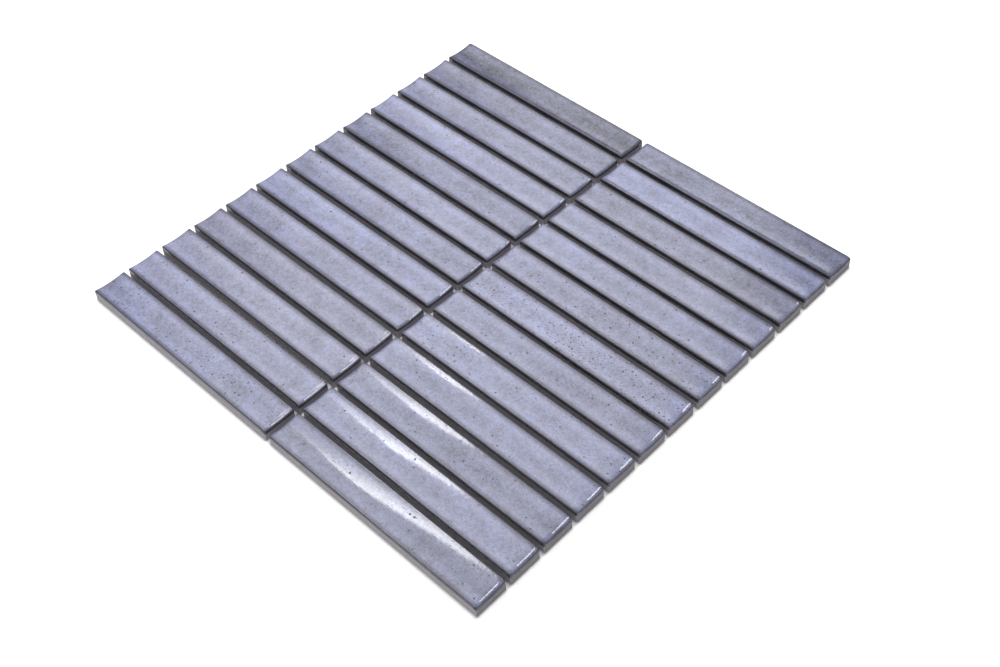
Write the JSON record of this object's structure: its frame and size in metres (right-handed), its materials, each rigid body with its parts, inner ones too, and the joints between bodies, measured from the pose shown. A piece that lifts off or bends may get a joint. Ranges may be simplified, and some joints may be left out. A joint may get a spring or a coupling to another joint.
{
  "type": "mosaic tile sheet",
  "caption": "Net-backed sheet of long narrow glazed ceramic chips with dished faces, laid in two columns with open joints, for cladding a wall or a floor.",
  "frame": {"origin": "centre of the sheet, on the plane that its net backing rests on", "axes": "+Z out of the glazed faces, +X along the chips, +Y from row to row"},
  "size_m": [0.293, 0.296, 0.0079],
  "materials": {
    "tile_glaze": "gloss",
    "net_yarn": "matte"
  },
  "bodies": {
    "root": {"tile_left_01": "tile_glaze", "tile_left_02": "tile_glaze", "tile_left_03": "tile_glaze", "tile_left_04": "tile_glaze", "tile_left_05": "tile_glaze", "tile_left_06": "tile_glaze", "tile_left_07": "tile_glaze", "tile_left_08": "tile_glaze", "tile_left_09": "tile_glaze", "tile_left_10": "tile_glaze", "tile_left_11": "tile_glaze", "tile_left_12": "tile_glaze", "tile_left_13": "tile_glaze", "tile_right_01": "tile_glaze", "tile_right_02": "tile_glaze", "tile_right_03": "tile_glaze", "tile_right_04": "tile_glaze", "tile_right_05": "tile_glaze", "tile_right_06": "tile_glaze", "tile_right_07": "tile_glaze", "tile_right_08": "tile_glaze", "tile_right_09": "tile_glaze", "tile_right_10": "tile_glaze", "tile_right_11": "tile_glaze", "tile_right_12": "tile_glaze", "tile_right_13": "tile_glaze", "net_lengthwise_yarns": "net_yarn", "net_crosswise_yarns": "net_yarn"}
  },
  "joints": []
}
